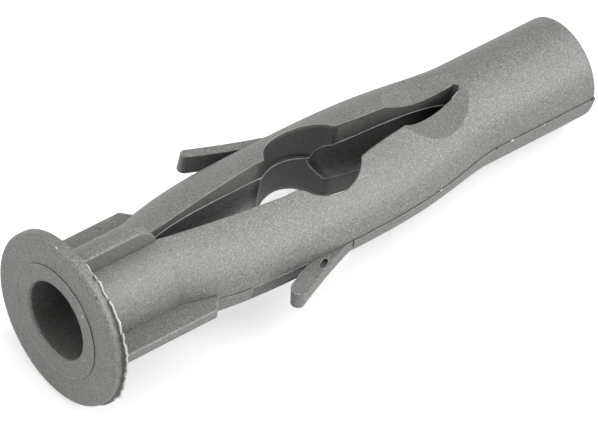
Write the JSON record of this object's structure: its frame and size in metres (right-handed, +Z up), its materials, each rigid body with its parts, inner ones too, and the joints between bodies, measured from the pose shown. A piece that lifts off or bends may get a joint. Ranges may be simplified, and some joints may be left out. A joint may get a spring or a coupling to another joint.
{
  "type": "wall plug",
  "caption": "Ribbed nylon frame plug with a thin collar, a long slotted expansion zone with a round window, two side barbs and a plain tip.",
  "frame": {"origin": "middle of the ground patch under the plug as it lies: centre of its bounding box in X and Y, and the ground in Z", "axes": "+X along the plug towards its tip, level with the ground, +Y across it, +Z up"},
  "size_m": [0.0506, 0.016, 0.0143],
  "materials": {
    "nylon": "fine eroded mould texture, matte"
  },
  "bodies": {
    "root": {"wall_plug": "nylon"}
  },
  "joints": []
}
